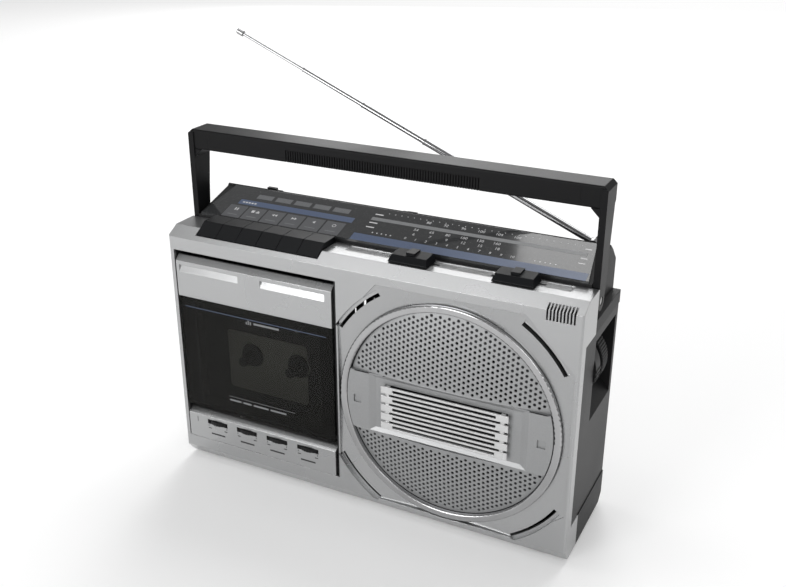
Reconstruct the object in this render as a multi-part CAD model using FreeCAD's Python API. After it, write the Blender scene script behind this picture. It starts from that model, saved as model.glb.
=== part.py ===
import FreeCAD, Part
import math
import os

from FreeCAD import Vector

os.makedirs("parts", exist_ok=True)

# A portable radio cassette recorder, in millimetres. X runs along the case, Y from front to back, Z up.
# The origin is on the table under the middle of the case. It stands upright with its handle and aerial raised.

# Case
case_width = 320.0
case_depth = 90.0
foot_height = 2.5
deck_height = 198.3         # table to the flat silver deck
wall = 2.5
edge_break = 1.2            # small chamfer on the front upright edges
under_bevel = (7.5, 9.5)    # depth and height of the bevel under the front face
top_bevel = (11.0, 6.1)     # depth and height of the bevel over the front face
deck_depth = 31.5           # front face to the rear edge of the silver deck
side_return = 10.0          # how far the silver front wraps round the sides
base_return = 26.5          # how far it runs back under the case
side_low = 27.5             # table to the bottom edge of the black side panels
side_high = 166.5           # table to their top edge
shoulder_height = 176.0     # table to the ledge behind the deck
fit_gap = 0.4               # clearance between a moving piece and the case
cover_swing_gap = 0.8         # under the battery cover, so that its foot clears the case as it opens
shaft_gap = 0.05            # radial clearance of a shaft in its hole

# Dial housing on top
housing_inset = 5.5         # from the case side to the housing's end wall
dial_front = 202.3          # height of the dial's front edge
dial_rear = 213.9           # height of its rear edge
dial_run = 38.8             # front edge to rear edge, measured flat
lens_thickness = 2.0
lens_front_inset = 7.6
lens_rear_inset = 14.4
housing_lip = 0.5           # gap between the silver deck and the housing
dial_window = (-18.0, 143.0)
dial_window_width = 4.5
dial_window_depth = 26.0    # dial front edge to the middle of the window
pointer_rest = 62.0

# Cassette bay, door and fascia
bay_left_inset = 4.0
bay_right = -17.2
bay_low = 21.5
bay_high = 182.2
door_side_gap = 1.1
door_margin = 3.5           # between the door and the dark wall right of it
door_top = 177.5
door_low = 50.6
door_bevel = 4.0
window_top = 145.1
window_thickness = 2.5
panel_thickness = 5.5
fascia_top = 42.9
hinge_height = 54.0
hinge_depth = 4.0           # front face to the door hinge
door_pin_radius = 1.5
bay_depth = 29.0            # front face to the deck plate
deck_plate = 1.6
frame_wall = 1.5
hub_spacing = 42.5          # cassette standard
hub_middle = -89.1
hub_height = 90.5
spindle_radius = 4.0

# Controls
key_count = 6
key_left = -137.7
key_pitch = 17.33
key_gap = 0.35
key_front = 4.8             # front face to the lower edge of a key
key_rear = 31.0
key_top = 202.5
key_shaft_depth = 37.0
key_shaft_height = 192.0
key_shaft_radius = 2.0
knob_count = 4
knob_first = -128.1
knob_pitch = 27.8
knob_radius = 12.0
knob_thickness = 3.0
knob_proud = 1.8
knob_height = 38.2
slot_width = 18.8
slot_height = 4.0
slider_length = 30.0
slider_travel = 14.0
function_place = 32.0
band_place = 107.5
track_left = -20.0
track_right = 145.0
track_front = 19.8
track_width = 9.4
stem_line = 24.5            # front face to the slot of the slider stems

# Loudspeaker
speaker_x = 68.1
speaker_z = 95.7
ring_outer = 83.5
ring_inner = 78.0
dish_outer = 112.0
dish_depth = 3.5
plate_half = 90.0           # middle of the eight-sided recess to a straight edge
plate_corner = 54.0         # half of a straight edge
grille_rise = 5.5
band_low = -25.7            # the flat band across the grille, from its middle
band_high = 20.8
fin_count = 5
fin_gap = 1.9               # between one fin and the next
fin_slot = 2.2              # height of the slot along each fin
fin_end = 9.0               # solid at each end of a fin
fin_left = 18.9
fin_right = 114.7
slit_inner = 96.0
slit_outer = 101.0
slit_half_angle = 13.0
basket_radius = 66.0
magnet_radius = 30.0

# Tuning wheels on the right side
wheel_radius = 26.0
wheel_height = 135.5
wheel_proud = 1.5
fine_wheel = (37.5, 47.5)   # front face to the near and far faces
main_wheel = (51.5, 63.5)
recess_front = 36.5
recess_rear = 85.0
recess_low = 97.1
recess_high = 159.0
recess_depth = 12.0
tuning_shaft_radius = 3.0

# Handle
pivot_depth = 39.5
pivot_height = 187.0
arm_thickness = 4.6
arm_radius = 6.7
arm_gap = 0.5
grip_low = 251.0
grip_high = 266.0
grip_front = 33.7
grip_rear = 54.0
grip_end = 18.0             # case side to the joint between arm and grip
grip_round = 1.2
rib_count = 75
rib_pitch = 2.0
rib_groove = (0.9, 0.9)     # width and depth
rib_height = 9.0
handle_pin_radius = 3.0

# Aerial
aerial_x = 140.0
aerial_depth = case_depth - 5.5
aerial_height = 209.0
aerial_lean = math.radians(23.2)    # above level, in the raised position
aerial_radii = (2.4, 2.05, 1.7, 1.35)
aerial_tube = 0.3
aerial_first = 141.0        # pivot to the mouth of the lowest tube
aerial_shown = (54.0, 54.0, 56.0)
aerial_length = 122.0       # of each sliding section
aerial_tip = (2.4, 6.0)

# Back
hatch_left = -104.0
hatch_right = 62.0
hatch_low = 13.0
hatch_high = 67.0
screw_radius = 1.45
post_radius = 3.8
boss_radius = 4.2

left = -case_width / 2
right = case_width / 2
front = -case_depth / 2
back = case_depth / 2
base = foot_height
deck_rear = front + deck_depth
housing_half = case_width / 2 - housing_inset
bay_left = left + bay_left_inset
door_left = bay_left + door_side_gap
door_right = bay_right - door_margin
dial_slope = (dial_rear - dial_front) / dial_run
dial_start = deck_rear + housing_lip


def box(x0, x1, y0, y1, z0, z1):
    return Part.makeBox(x1 - x0, y1 - y0, z1 - z0, Vector(x0, y0, z0))


def cylinder(axis, start, radius, length):
    directions = {"x": Vector(1, 0, 0), "y": Vector(0, 1, 0), "z": Vector(0, 0, 1)}
    return Part.makeCylinder(radius, length, Vector(*start), directions[axis])


def tube(axis, start, outer, inner, length):
    return cylinder(axis, start, outer, length).cut(cylinder(axis, start, inner, length))


def prism(axis, points, start, end):
    """Extrudes an outline along an axis. Its points are in the other two axes, in X, Y, Z order."""
    places = {
        "x": lambda u, v: Vector(start, u, v),
        "y": lambda u, v: Vector(u, start, v),
        "z": lambda u, v: Vector(u, v, start),
    }
    ways = {"x": Vector(end - start, 0, 0), "y": Vector(0, end - start, 0), "z": Vector(0, 0, end - start)}
    corners = [places[axis](u, v) for u, v in points]
    face = Part.Face(Part.makePolygon(corners + corners[:1]))
    solid = face.extrude(ways[axis])
    return solid


def inset(points, distance):
    """Moves every side of a closed outline inwards by the same distance."""
    area = sum(a[0] * b[1] - b[0] * a[1] for a, b in zip(points, points[1:] + points[:1]))
    turn = 1 if area > 0 else -1
    lines = []
    for (u0, v0), (u1, v1) in zip(points, points[1:] + points[:1]):
        length = math.hypot(u1 - u0, v1 - v0)
        normal = (-(v1 - v0) / length * turn, (u1 - u0) / length * turn)
        lines.append((normal, normal[0] * u0 + normal[1] * v0 + distance))
    moved = []
    for (n0, c0), (n1, c1) in zip(lines[-1:] + lines[:-1], lines):
        det = n0[0] * n1[1] - n0[1] * n1[0]
        moved.append(((c0 * n1[1] - c1 * n0[1]) / det, (n0[0] * c1 - n1[0] * c0) / det))
    return moved


def softened(solid, radius, axis):
    """Rounds every straight edge that runs along an axis."""
    lengths = {"x": lambda b: (b.YLength, b.ZLength, b.XLength), "y": lambda b: (b.XLength, b.ZLength, b.YLength),
               "z": lambda b: (b.XLength, b.YLength, b.ZLength)}
    chosen = []
    for edge in solid.Edges:
        u, v, w = lengths[axis](edge.BoundBox)
        if u < 0.001 and v < 0.001 and w > 2 * radius:
            chosen.append(edge)
    return solid.makeFillet(radius, chosen)


def mirrored(solid):
    return solid.mirror(Vector(0, 0, 0), Vector(1, 0, 0))


def save(name, *solids):
    shape = solids[0] if len(solids) == 1 else Part.makeCompound(list(solids))
    for solid in shape.Solids:
        if not solid.isValid() or solid.Volume <= 0:
            raise ValueError("bad solid in " + name)
    shape.exportStep("parts/" + name + ".step")
    print(name, len(shape.Solids), round(shape.Volume))


def lens_height(depth):
    """Height of the dial's face above a place that is this far behind the dial's front edge."""
    return dial_front + depth * dial_slope


# Screws join the two shells at four posts, two high and two low.
post_places = [
    (left + 14.0, 190.5),
    (right - 24.0, 182.0),
    (left + 12.5, 14.0),
    (right - 12.5, 14.0),
]
post_meet = deck_rear       # where the front posts meet the rear bosses


def front_outline(rear):
    return [
        (rear, base),
        (front + under_bevel[0], base),
        (front, base + under_bevel[1]),
        (front, deck_height - top_bevel[1]),
        (front + top_bevel[0], deck_height),
        (rear, deck_height),
    ]


def arc_slit(angle, inner, outer, half_angle, y0, y1):
    """A piece of a ring round the loudspeaker, centred on an angle in degrees."""
    ring = tube("y", (speaker_x, y0, speaker_z), outer, inner, y1 - y0)
    a0 = math.radians(angle - half_angle)
    a1 = math.radians(angle + half_angle)
    reach = outer / math.cos(math.radians(half_angle)) + 1
    wedge = [(speaker_x, speaker_z)]
    for a in (a0, a1):
        wedge.append((speaker_x + reach * math.cos(a), speaker_z + reach * math.sin(a)))
    return ring.common(prism("y", wedge, y0, y1))


def plate_outline():
    h, c = plate_half, plate_corner
    corners = [(-c, h), (c, h), (h, c), (h, -c), (c, -h), (-c, -h), (-h, -c), (-h, c)]
    low = base + under_bevel[1] + 0.8
    points = []
    for u, v in corners:
        x = min(max(speaker_x + u, bay_right + 1.2), right - 3.0)
        points.append((x, max(speaker_z + v, low)))
    return [p for i, p in enumerate(points) if p != points[i - 1]]


def build_front_shell():
    solid = prism("x", front_outline(deck_rear), left, right)
    hollow = prism("x", inset(front_outline(deck_rear + 2 * wall), wall), left + wall, right - wall)
    solid = solid.cut(hollow)
    # the loudspeaker seat thickens the wall from behind
    seat = cylinder("y", (speaker_x, front + wall - 0.5, speaker_z), slit_outer + 3.0, 4.5)
    room = hollow.common(box(bay_right + 0.8, right, front, back, base, deck_height))
    solid = solid.fuse(seat.common(room.fuse(box(bay_right + 0.8, right - wall, front + wall - 0.6, front + wall,
                                                  base + under_bevel[1], deck_height - top_bevel[1]))))
    for x, z in post_places:
        solid = solid.fuse(cylinder("y", (x, front + wall - 0.5, z), post_radius, post_meet - front - wall + 0.5)
                           .common(prism("x", front_outline(deck_rear), left, right)))
    cuts = [
        box(left - 1, right + 1, front + side_return, back, side_low, side_high),
        box(left - 1, right + 1, front + base_return, back, base - 1, side_low + 0.001),
        box(bay_left, bay_right, front - 1, front + wall + 1, bay_low, bay_high),
        cylinder("y", (speaker_x, front - 1, speaker_z), ring_outer + 0.2, 12.0),
        box(key_left - fit_gap, key_left + key_count * key_pitch + fit_gap, front + key_front - 0.5,
            deck_rear + 1, deck_height - 14, deck_height + 1),
        box(track_left, track_right, front + track_front, front + track_front + track_width,
            deck_height - 0.5, deck_height + 1),
    ]
    for x in (function_place, band_place):
        reach = slider_travel + 5
        cuts.append(box(x - reach, x + reach, front + stem_line - 1.3, front + stem_line + 1.3,
                        deck_height - wall - 1, deck_height))
    for k in range(6):
        y = front + track_front + 0.9 + k * 1.35
        cuts.append(box(track_left + 1, track_right - 1, y, y + 0.6, deck_height - 1.3, deck_height))
    dish = Part.makeCone(dish_outer, ring_outer, dish_depth, Vector(speaker_x, front, speaker_z), Vector(0, 1, 0))
    cuts.append(dish.common(prism("y", plate_outline(), front - 0.5, front + dish_depth + 0.5)))
    for quarter in range(4):
        angle = 45 + 90 * quarter
        middle = (slit_inner + slit_outer) / 2
        cuts.append(arc_slit(angle, middle - 0.01, slit_outer, slit_half_angle, front - 1, front + 3.0))
        cuts.append(arc_slit(angle, slit_inner, middle, slit_half_angle, front - 1, front + 9.0))
    for i in range(9):
        x = right - 24.6 + i * 2.25
        cuts.append(box(x, x + 1.2, front - 1, front + 5.6, deck_height - 13.2, deck_height - 3.2))
    for x, z in post_places:
        cuts.append(cylinder("y", (x, post_meet - 18, z), screw_radius + shaft_gap, 20))
    for x in (left, right):
        s = 1 if x < 0 else -1
        cuts.append(prism("z", [(x - s, front - 1), (x + s * edge_break, front - 1), (x + s * edge_break, front),
                                (x, front + edge_break), (x - s, front + edge_break)], base - 1, deck_height + 1))
    solid = solid.cut(cuts)
    biggest = max(solid.Solids, key=lambda s: s.Volume)
    save("front_shell", biggest)


def pointer_rail_height():
    return lens_height(dial_window_depth) - lens_thickness - 6.5


def housing_outline():
    under = lens_thickness
    return [
        (dial_start, shoulder_height - 1),
        (dial_start, dial_front - under),
        (dial_start + dial_run, dial_rear - under),
        (dial_start + dial_run + 2.0, dial_rear),
        (back - 9.8, dial_rear - 5.6),
        (back, dial_rear - 15.4),
        (back, shoulder_height - 1),
    ]


def build_rear_shell():
    lower = [
        (front + base_return, base),
        (back - 6, base),
        (back, base + 6),
        (back, shoulder_height),
        (deck_rear, shoulder_height),
        (deck_rear, side_high),
        (front + side_return, side_high),
        (front + side_return, side_low),
        (front + base_return, side_low),
    ]
    solid = prism("x", lower, left, right).fuse(prism("x", housing_outline(), -housing_half, housing_half))
    room = [(front - 20, base + wall), (back - 6.5, base + wall), (back - wall, base + 6.5),
            (back - wall, shoulder_height - wall), (front - 20, shoulder_height - wall)]
    hollow = prism("x", room, left + wall, right - wall)
    upper = housing_outline()
    upper[0] = (dial_start, shoulder_height - 30)
    upper[-1] = (back, shoulder_height - 30)
    loft = prism("x", inset(upper, wall), -housing_half + wall, housing_half - wall)
    solid = solid.cut([hollow, loft])
    slope_mid = dial_start + dial_window_depth
    cuts = [
        box(left - 1, left + wall + 0.1, front, back + 1, side_low, side_high),
        box(right - wall - 0.1, right + 1, front, back + 1, side_low, side_high),
        box(dial_window[0], dial_window[1], slope_mid - 8, slope_mid + 8, dial_front, dial_rear + 1),
        box(left + 17, right - 30, dial_start - 1, dial_start + wall + 0.5, shoulder_height - 2, deck_height - 0.2),
        box(hatch_left, hatch_right, back - wall - 1, back + 1, hatch_low, hatch_high),
        box(96.0, 122.0, back - wall - 1, back + 1, 20.0, 36.0),
    ]
    for side in (-1, 1):
        start = housing_half - wall - 1 if side > 0 else -housing_half - 1
        cuts.append(cylinder("x", (start, front + pivot_depth, pivot_height), handle_pin_radius + 0.02, wall + 2))
    for i in range(11):
        x = -70 + i * 9.0
        cuts.append(box(x, x + 3.0, back - wall - 1, back + 1, 100.0, 132.0))
    solid = solid.cut(cuts)
    inside = hollow.fuse(loft)
    for x, z in post_places:
        boss = cylinder("y", (x, post_meet, z), boss_radius, back - 0.5 - post_meet)
        solid = solid.fuse(boss.common(inside.fuse(prism("x", housing_outline(), -housing_half, housing_half))
                                       .fuse(prism("x", lower, left + 1, right - 1))))
        solid = solid.cut([cylinder("y", (x, post_meet + 6, z), 3.4, case_depth),
                           cylinder("y", (x, post_meet - 1, z), screw_radius + 0.25, 20)])
    # the dial pointer's rail hangs under the housing on two brackets
    rail_z = pointer_rail_height()
    solid = solid.fuse(cylinder("x", (dial_window[0] - 6, slope_mid, rail_z), 1.0, dial_window[1] - dial_window[0] + 10))
    for x in (dial_window[0] - 9, dial_window[1] + 4):
        bracket = box(x, x + 3, slope_mid - 9, slope_mid + 9, rail_z - 2, dial_rear)
        under_lens = prism("x", [(dial_start, rail_z - 3), (dial_start, dial_front - lens_thickness - 1),
                                 (dial_start + dial_run, dial_rear - lens_thickness - 1),
                                 (dial_start + dial_run, rail_z - 3)], x - 1, x + 4)
        solid = solid.fuse(bracket.common(under_lens))
    # two hooks hold the aerial when it lies along the housing
    y = front + aerial_depth
    for x, height in ((0.0, 2.0), (-118.0, 4.0)):
        hook = box(x - 4, x + 4, y - 6.2, y - 3.2, dial_rear - 12, aerial_height + height)
        hook = hook.fuse(box(x - 4, x + 4, y - 6.2, y + 4.2, dial_rear - 14, aerial_height - 3.2))
        hook = hook.fuse(box(x - 4, x + 4, y + 2.9, y + 4.2, dial_rear - 14, aerial_height - 0.5))
        solid = solid.fuse(hook.cut(prism("x", inset(housing_outline(), 1.0), x - 5, x + 5)))
    # a collar for the aerial's swivel stands on the rear slope
    collar_base = aerial_height - 20
    collar = cylinder("z", (aerial_x, front + aerial_depth, collar_base), 5.2, aerial_height - 7.6 - collar_base)
    bore = cylinder("z", (aerial_x, front + aerial_depth, collar_base - 1), 3.0 + shaft_gap, 30)
    head_room = cylinder("z", (aerial_x, front + aerial_depth, aerial_height - 7.6), 6.8, 20)
    keep = box(-500, 500, -500, back, 0, 500)
    solid = solid.fuse(collar.common(keep)).cut([bore, head_room])
    save("rear_shell", max(solid.Solids, key=lambda s: s.Volume))


def build_side_panels():
    outer = right - 0.6
    plate = box(right - wall - 0.1, outer, front + side_return, back, side_low, side_high)
    floor = right - recess_depth
    y0, y1 = front + recess_front, front + recess_rear
    under_slope = [(right - wall, recess_low + 0.3), (floor - 2, recess_low + 13.6), (floor - 2, recess_high + 2),
                   (right - wall, recess_high + 2)]
    pocket = prism("y", under_slope, y0 - 2, y1 + 2)
    slope = [(right + 1, recess_low - 0.7), (floor, recess_low + 14.4), (floor, recess_high),
             (right + 1, recess_high)]
    solid = plate.fuse(pocket).cut(prism("y", slope, y0, y1))
    centre = right + wheel_proud - wheel_radius
    for near, far in (fine_wheel, main_wheel):
        solid = solid.cut(cylinder("y", (centre, front + near - 0.8, wheel_height), wheel_radius + 0.8,
                                   far - near + 1.6))
    plain = box(left + 0.6, left + wall + 0.1, front + side_return, back, side_low, side_high)
    jack_hole = cylinder("x", (left, back - 30, 60.0), 4.0 + shaft_gap, wall + 1)
    save("side_panels", plain.cut(jack_hole), max(solid.Solids, key=lambda s: s.Volume))
    jack = tube("x", (left + 0.8, back - 30, 60.0), 4.0, 1.8, 14.0)
    jack = jack.fuse(box(left + 3.2, left + 17, back - 35, back - 25, 55.0, 65.0))
    jack = jack.cut(cylinder("x", (left, back - 30, 60.0), 1.8, 14.8))
    save("headphone_jack", jack)


def build_dial():
    y0, y1 = dial_start, dial_start + dial_run
    outline = [(y0, dial_front - lens_thickness), (y0, dial_front), (y1, dial_rear),
               (y1, dial_rear - lens_thickness)]
    solid = prism("x", outline, left, right)
    trapezoid = [(left + lens_front_inset, y0 - 1), (right - lens_front_inset, y0 - 1),
                 (right - lens_rear_inset, y1 + 1), (left + lens_rear_inset, y1 + 1)]
    solid = solid.common(prism("z", trapezoid, 150, 260))
    save("dial_lens", solid)
    middle = y0 + dial_window_depth
    rail_z = pointer_rail_height()
    carriage = box(pointer_rest - 4, pointer_rest + 4, middle - 3, middle + 3, rail_z - 2.5, rail_z + 2.5)
    needle = box(pointer_rest - 0.6, pointer_rest + 0.6, middle - 2.6, middle + 2.6, rail_z + 2, rail_z + 5.2)
    carriage = carriage.fuse(needle).cut(cylinder("x", (pointer_rest - 5, middle, rail_z), 1.0 + shaft_gap, 10))
    save("dial_pointer", carriage)


def build_deck():
    plate_y = front + bay_depth
    walls = box(bay_left - frame_wall + 0.1, door_right + 0.8 + frame_wall, front + wall + 0.1, plate_y + deck_plate,
                bay_low + 0.3, bay_high + 1.0)
    walls = walls.cut(box(bay_left + 0.1, door_right + 0.8, front, plate_y, bay_low - 2, bay_high - 0.5))
    walls = walls.cut(cylinder("x", (left, front + hinge_depth, hinge_height), door_pin_radius + shaft_gap,
                               case_width))
    holes = []
    for side in (-1, 1):
        x = hub_middle + side * hub_spacing / 2
        holes.append(cylinder("y", (x, plate_y - 1, hub_height), 2.5 + shaft_gap, 5))
    capstan = (hub_middle + 26.0, hub_height + 35.0)
    holes.append(cylinder("y", (capstan[0], plate_y - 1, capstan[1]), 1.2 + shaft_gap, 5))
    holes.append(box(hub_middle - 36, hub_middle + 36, plate_y - 1, plate_y + 3, hub_height + 44, hub_height + 60))
    save("deck_frame", walls.cut(holes))

    for name, side in (("supply_spindle", -1), ("takeup_spindle", 1)):
        x = hub_middle + side * hub_spacing / 2
        spindle = cylinder("y", (x, plate_y - 14, hub_height), spindle_radius, 13.6)
        for k in range(3):
            fin = box(-0.7, 0.7, plate_y - 12, plate_y - 0.8, 0, spindle_radius + 1.0)
            fin.rotate(Vector(0, 0, 0), Vector(0, 1, 0), 120 * k)
            fin.translate(Vector(x, 0, hub_height))
            spindle = spindle.fuse(fin)
        spindle = spindle.fuse(cylinder("y", (x, plate_y - 2, hub_height), 9.0, 1.6))
        spindle = spindle.fuse(cylinder("y", (x, plate_y - 1, hub_height), 2.5, 5.0))
        spindle = spindle.fuse(cylinder("y", (x, plate_y + deck_plate + 0.4, hub_height), 14.0, 3.0))
        save(name, spindle)

    flywheel = cylinder("y", (capstan[0], plate_y + 6.5, capstan[1]), 27.0, 6.0)
    flywheel = flywheel.fuse(cylinder("y", (capstan[0], plate_y - 9.5, capstan[1]), 1.2, 17))
    save("capstan_flywheel", flywheel)
    motor = (hub_middle - 38.0, hub_height + 40.0)
    can = cylinder("y", (motor[0], plate_y + 15, motor[1]), 16.0, 24.0)
    save("deck_motor", can.cut(cylinder("y", (motor[0], plate_y + 14, motor[1]), 1.0 + shaft_gap, 8)))
    pulley = cylinder("y", (motor[0], plate_y + 7, motor[1]), 5.0, 5.0)
    save("motor_pulley", pulley.fuse(cylinder("y", (motor[0], plate_y + 7, motor[1]), 1.0, 14)))
    gap = 0.3
    span = math.hypot(capstan[0] - motor[0], capstan[1] - motor[1])
    lean = math.degrees(math.atan2(capstan[1] - motor[1], capstan[0] - motor[0]))
    belt_inner = belt_loop(span, 5.0 + gap, 27.0 + gap)
    belt_outer = belt_loop(span, 6.2 + gap, 28.2 + gap)
    belt = belt_outer.cut(belt_inner)
    belt.rotate(Vector(0, 0, 0), Vector(0, 1, 0), -lean)
    belt.translate(Vector(motor[0], plate_y + 9.0, motor[1]))
    save("drive_belt", belt)

    bridge = box(hub_middle - 34, hub_middle + 34, plate_y - 12, plate_y - 10.4, hub_height + 44, hub_height + 62)
    for x in (hub_middle - 30, hub_middle + 10):
        bridge = bridge.fuse(box(x, x + 8, plate_y - 10.5, plate_y + 3.0, hub_height + 53.5, hub_height + 58))
        bridge = bridge.fuse(box(x, x + 8, plate_y + 2.0, plate_y + 3.4, hub_height + 53.5, hub_height + 62))
    axle = (capstan[0] + 1.0, hub_height + 50.6)
    bridge = bridge.fuse(cylinder("y", (axle[0], plate_y - 12, axle[1]), 1.5, 9.5))
    save("head_bridge", bridge)
    heads = []
    for x, half in ((hub_middle, 6.5), (hub_middle - 24, 5.0)):
        heads.append(box(x - half, x + half, plate_y - 10.4, plate_y - 3, hub_height + 42, hub_height + 53))
    save("tape_heads", *heads)
    roller = tube("y", (axle[0], plate_y - 10.0, axle[1]), 6.0, 1.5 + shaft_gap, 7.0)
    save("pinch_roller", roller)


def belt_loop(span, small, large):
    """The filled outline of a belt from a small pulley at the origin to a large one along X."""
    angle = math.acos((small - large) / span)
    c, s = math.cos(angle), math.sin(angle)
    quad = [(small * c, small * s), (small * c, -small * s), (span + large * c, -large * s),
            (span + large * c, large * s)]
    loop = prism("y", quad, 0, 3.0)
    loop = loop.fuse(cylinder("y", (0, 0, 0), small, 3.0)).fuse(cylinder("y", (span, 0, 0), large, 3.0))
    return loop


def build_door():
    back_y = front + panel_thickness
    outline = [(front, window_top), (front, door_top - door_bevel), (front + door_bevel, door_top),
               (back_y, door_top), (back_y, window_top)]
    panel = prism("x", outline, door_left, door_right)
    # two finger grips: deep under their top edge and flush at the bottom
    high, low, deep = door_top - 7.0, door_top - 12.6, 3.0
    wedge = [(front - 1, high), (front + deep, high), (front + deep - 0.8, high - 1.0), (front, low), (front - 1, low)]
    for x0, x1 in ((2.6, 55.3), (74.6, 128.6)):
        panel = panel.cut(prism("x", wedge, door_left + x0, door_left + x1))
    save("door_panel", panel)
    window_y = front + 0.6
    window = box(door_left, door_right, window_y, window_y + window_thickness, door_low, window_top)
    save("door_window", window)
    y0 = window_y + window_thickness
    holder = box(door_left + 0.4, door_right - 0.4, y0, y0 + 11.0, door_low + 0.6, door_low + 2.6)
    for x0 in (door_left + 0.4, door_right - 12.4):
        holder = holder.fuse(box(x0, x0 + 12.0, y0, y0 + 1.5, door_low + 0.6, window_top))
    for x0 in (door_left + 0.4, door_right - 2.4):
        holder = holder.fuse(box(x0, x0 + 2.0, y0, y0 + 11.0, door_low + 0.6, window_top))
    for x0, x1 in ((door_left + 0.4, door_left + 9), (door_right - 9, door_right - 0.4)):
        holder = holder.fuse(box(x0, x1, y0 + 11.0, y0 + 12.5, door_low + 0.6, window_top - 20))
    holder = holder.fuse(box(door_left + 0.4, door_right - 0.4, back_y, back_y + 1.5, window_top - 6, door_top - 4))
    holder = holder.fuse(box(door_left + 0.4, door_left + 4, back_y - 1, back_y + 1.5, window_top - 8, window_top))
    holder = holder.cut(box(left, right, front, back_y, window_top - 0.001, door_top))
    pin_y = front + hinge_depth
    for x0, x1 in ((bay_left - frame_wall + 0.3, door_left + 1.5), (door_right - 1.5, door_right + 2.1)):
        holder = holder.fuse(cylinder("x", (x0, pin_y, hinge_height), door_pin_radius, x1 - x0))
    window_cut = box(left, right, window_y, y0, door_low, window_top)
    holder = holder.cut(window_cut.common(box(door_left, door_right, front, back, 0, 300)))
    save("cassette_holder", holder)


def knob_centres():
    return [knob_first + i * knob_pitch for i in range(knob_count)]


def build_fascia():
    outline = [(front, bay_low + 0.3), (front, fascia_top), (front + 5, fascia_top + 3), (front + 9, fascia_top + 3),
               (front + 9, fascia_top + 1), (front + wall, fascia_top - 2), (front + wall, bay_low + 0.3)]
    solid = prism("x", outline, bay_left + 0.8, door_right + 0.3)
    centre_y = front - knob_proud + knob_radius
    z0 = knob_height - slot_height / 2
    for x in knob_centres():
        solid = solid.cut(box(x - slot_width / 2, x + slot_width / 2, front - 1, front + wall + 1, z0, z0 + slot_height))
    save("control_fascia", solid)
    names = ("volume_wheel", "treble_wheel", "bass_wheel", "mic_volume_wheel")
    pots = []
    for name, x in zip(names, knob_centres()):
        wheel = cylinder("z", (x, centre_y, knob_height - knob_thickness / 2), knob_radius, knob_thickness)
        shaft_low = knob_height - 9
        wheel = wheel.fuse(cylinder("z", (x, centre_y, shaft_low), 3.0, 8))
        grooves = []
        for k in range(30):
            a = math.radians(12 * k)
            grooves.append(cylinder("z", (x + (knob_radius + 0.25) * math.cos(a),
                                          centre_y + (knob_radius + 0.25) * math.sin(a), knob_height - 3), 0.6, 6))
        save(name, wheel.cut(grooves))
        pot = cylinder("z", (x, centre_y, shaft_low - 1), 7.0, 7.0)
        pots.append(pot.cut(cylinder("z", (x, centre_y, shaft_low - 0.2), 3.0 + shaft_gap, 10)))
    board = box(knob_first - 16, knob_first + 3 * knob_pitch + 14, centre_y - 7, centre_y + 10,
                knob_height - 11.6, knob_height - 10)
    save("tone_controls", board.fuse(pots))


def build_keys():
    shaft_y = front + key_shaft_depth
    names = ("pause_key", "stop_key", "rewind_key", "forward_key", "play_key", "record_key")
    y0 = front + key_front
    low = deck_height - top_bevel[1] + key_front * top_bevel[1] / top_bevel[0]
    for i, name in enumerate(names):
        x0 = key_left + i * key_pitch + key_gap / 2
        x1 = x0 + key_pitch - key_gap
        outline = [(y0, low + 0.2), (front + 16, key_top), (front + key_rear, key_top),
                   (front + key_rear, key_shaft_height - 2), (y0 + 4.2, key_shaft_height - 2)]
        key = softened(prism("x", outline, x0, x1), 0.6, "x")
        middle = (x0 + x1) / 2
        lever = box(middle - 3, middle + 3, front + key_rear - 1, shaft_y, key_shaft_height - 2,
                    key_shaft_height + 4.2)
        key = key.fuse(lever).fuse(cylinder("x", (middle - 3, shaft_y, key_shaft_height), 4.4, 6))
        key = key.cut(cylinder("x", (x0 - 1, shaft_y, key_shaft_height), key_shaft_radius + shaft_gap, key_pitch + 2))
        save(name, key)
    end = key_left + key_count * key_pitch
    shaft = cylinder("x", (key_left - 3.8, shaft_y, key_shaft_height), key_shaft_radius, end - key_left + 7.6)
    bracket = box(key_left - 3.8, end + 3.8, shaft_y + 6, shaft_y + 7.5, key_shaft_height - 6, key_shaft_height + 4)
    for x in (key_left - 3.8, end + 2.3):
        bracket = bracket.fuse(box(x, x + 1.5, shaft_y - 4, shaft_y + 7, key_shaft_height - 6, key_shaft_height + 4))
    save("key_mount", bracket.fuse(shaft))


def build_sliders():
    stem_y = front + stem_line
    switches = []
    for name, x in (("function_slider", function_place), ("band_slider", band_place)):
        reach = slider_travel + 4
        half = slider_length / 2
        low = deck_height + 0.4
        outline = [(front + 12.5, low), (front + 12.5, low + 1.2), (front + 15.5, low + 5.0),
                   (front + 27.5, low + 5.8), (front + 27.5, low)]
        cap = softened(prism("x", outline, x - half, x + half), 0.5, "x")
        ends = [(x - half - 1, low + 7), (x - half - 1, low - 1), (x - half, low - 1), (x - half + 2.5, low + 7)]
        cap = cap.cut(prism("y", ends, front, front + 40))
        ends = [(2 * x - u, v) for u, v in ends]
        cap = cap.cut(prism("y", ends, front, front + 40))
        cap = cap.fuse(box(x - 3.2, x + 3.2, front + 18, front + 27.5, low + 4, low + 6.8))
        cap = cap.fuse(box(x - 4, x + 4, stem_y - 1, stem_y + 1, deck_height - 9, low + 1))
        save(name, cap)
        switch = box(x - 22, x + 22, stem_y - 5, stem_y + 5, deck_height - 14, deck_height - 5)
        switches.append(switch.cut(box(x - reach - 1, x + reach + 1, stem_y - 1.5, stem_y + 1.5,
                                       deck_height - 9.5, deck_height - 4)))
    save("slide_switches", *switches)


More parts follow.
